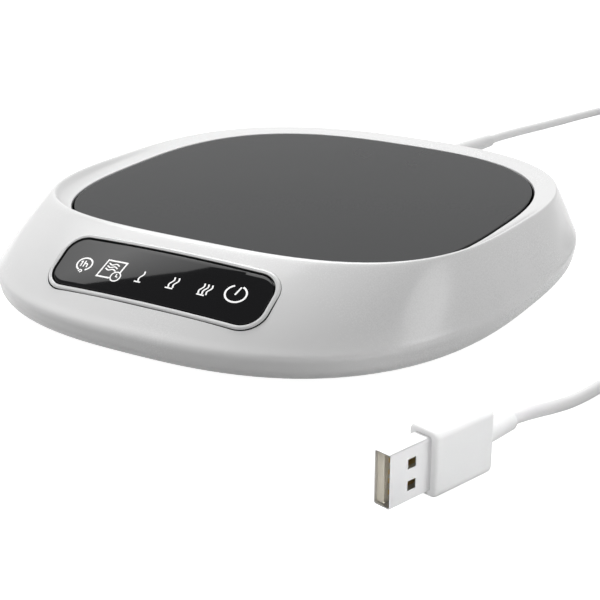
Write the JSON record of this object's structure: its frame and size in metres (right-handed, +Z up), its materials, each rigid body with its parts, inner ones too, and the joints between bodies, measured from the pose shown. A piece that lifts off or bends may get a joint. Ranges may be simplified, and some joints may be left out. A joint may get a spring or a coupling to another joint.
{
  "type": "electric mug warmer",
  "caption": "Low rounded-square warmer with a sprung glass heating plate in a shallow dish, a touch panel on its sloping front and a thin lead with a USB-A plug.",
  "frame": {"origin": "on the floor under the middle of the body", "axes": "+Z up, touch panel facing -Y, lead leaving at +Y"},
  "size_m": [0.1823, 0.3476, 0.0243],
  "materials": {
    "shell_white": "satin white moulded plastic",
    "plate_grey": "smooth dark grey tempered glass, opaque",
    "gasket_black": "black silicone",
    "lens_black": "black gloss",
    "mark_white": "white print",
    "cover_white": "fine spark-eroded white plastic",
    "foot_grey": "soft grey rubber",
    "screw_steel": "zinc-plated",
    "carrier_dark": "dark heat-proof plastic",
    "spreader_aluminium": "rolled",
    "film_orange": "orange heater film",
    "pad_felt": "needled felt",
    "bead_black": "sealed bead",
    "fuse_metal": "plain",
    "spring_steel": "drawn wire",
    "switch_black": "moulded",
    "plunger_ivory": "moulded",
    "shroud_black": "moulded",
    "board_green": "solder resist",
    "contact_gold": "gold-plated",
    "led_clear": "clear lamp",
    "ribbon_white": "flat cable",
    "parts_black": "moulded components",
    "wire_red": "insulated wire",
    "cord_white": "smooth white jacket",
    "mould_white": "white overmould",
    "shell_nickel": "nickel-plated sheet",
    "tongue_white": "moulded"
  },
  "bodies": {
    "root": {"top_shell": "shell_white", "panel_frame": "shell_white", "panel_lens": "lens_black", "key_marks": "mark_white", "base_cover": "cover_white", "rubber_feet": "foot_grey", "base_screws": "screw_steel", "plate_springs": "spring_steel", "weight_switch": "switch_black", "light_shroud": "shroud_black", "touch_board": "board_green", "touch_springs": "contact_gold", "indicator_leds": "led_clear", "ribbon_cable": "ribbon_white", "main_board": "board_green", "board_components": "parts_black", "buzzer": "parts_black", "board_screws": "screw_steel", "heater_leads": "wire_red", "inlet_lead": "cord_white", "cord_bushing": "mould_white", "cord_clamp": "cover_white", "clamp_screws": "screw_steel", "cord_lead": "cord_white", "cord_coil": "cord_white", "cord_tail": "cord_white", "plug_strain_relief": "mould_white", "plug_body": "mould_white", "plug_shell": "shell_nickel", "plug_tongue": "tongue_white", "plug_contacts": "contact_gold"},
    "hot_plate": {"heating_plate": "plate_grey", "plate_gasket": "gasket_black", "heat_spreader": "spreader_aluminium", "heater_film": "film_orange", "insulation_pad": "pad_felt", "plate_carrier": "carrier_dark", "thermal_fuse": "fuse_metal", "temperature_sensor": "bead_black"},
    "plunger": {"switch_plunger": "plunger_ivory"}
  },
  "joints": [
    {"name": "plate_travel", "type": "slide", "parent": "root", "child": "hot_plate", "axis": [0, 0, 1], "range_m": [-0.0008, 0], "stiffness_N_per_m": 1500, "springref_m": 0.00267, "deforming": ["plate_springs", "heater_leads"]},
    {"name": "plunger_travel", "type": "slide", "parent": "root", "child": "plunger", "axis": [0, 0, 1], "range_m": [-0.0008, 0]}
  ],
  "couplings": [
    {"joint": "plunger_travel", "follows": "plate_travel", "ratio": 1}
  ]
}
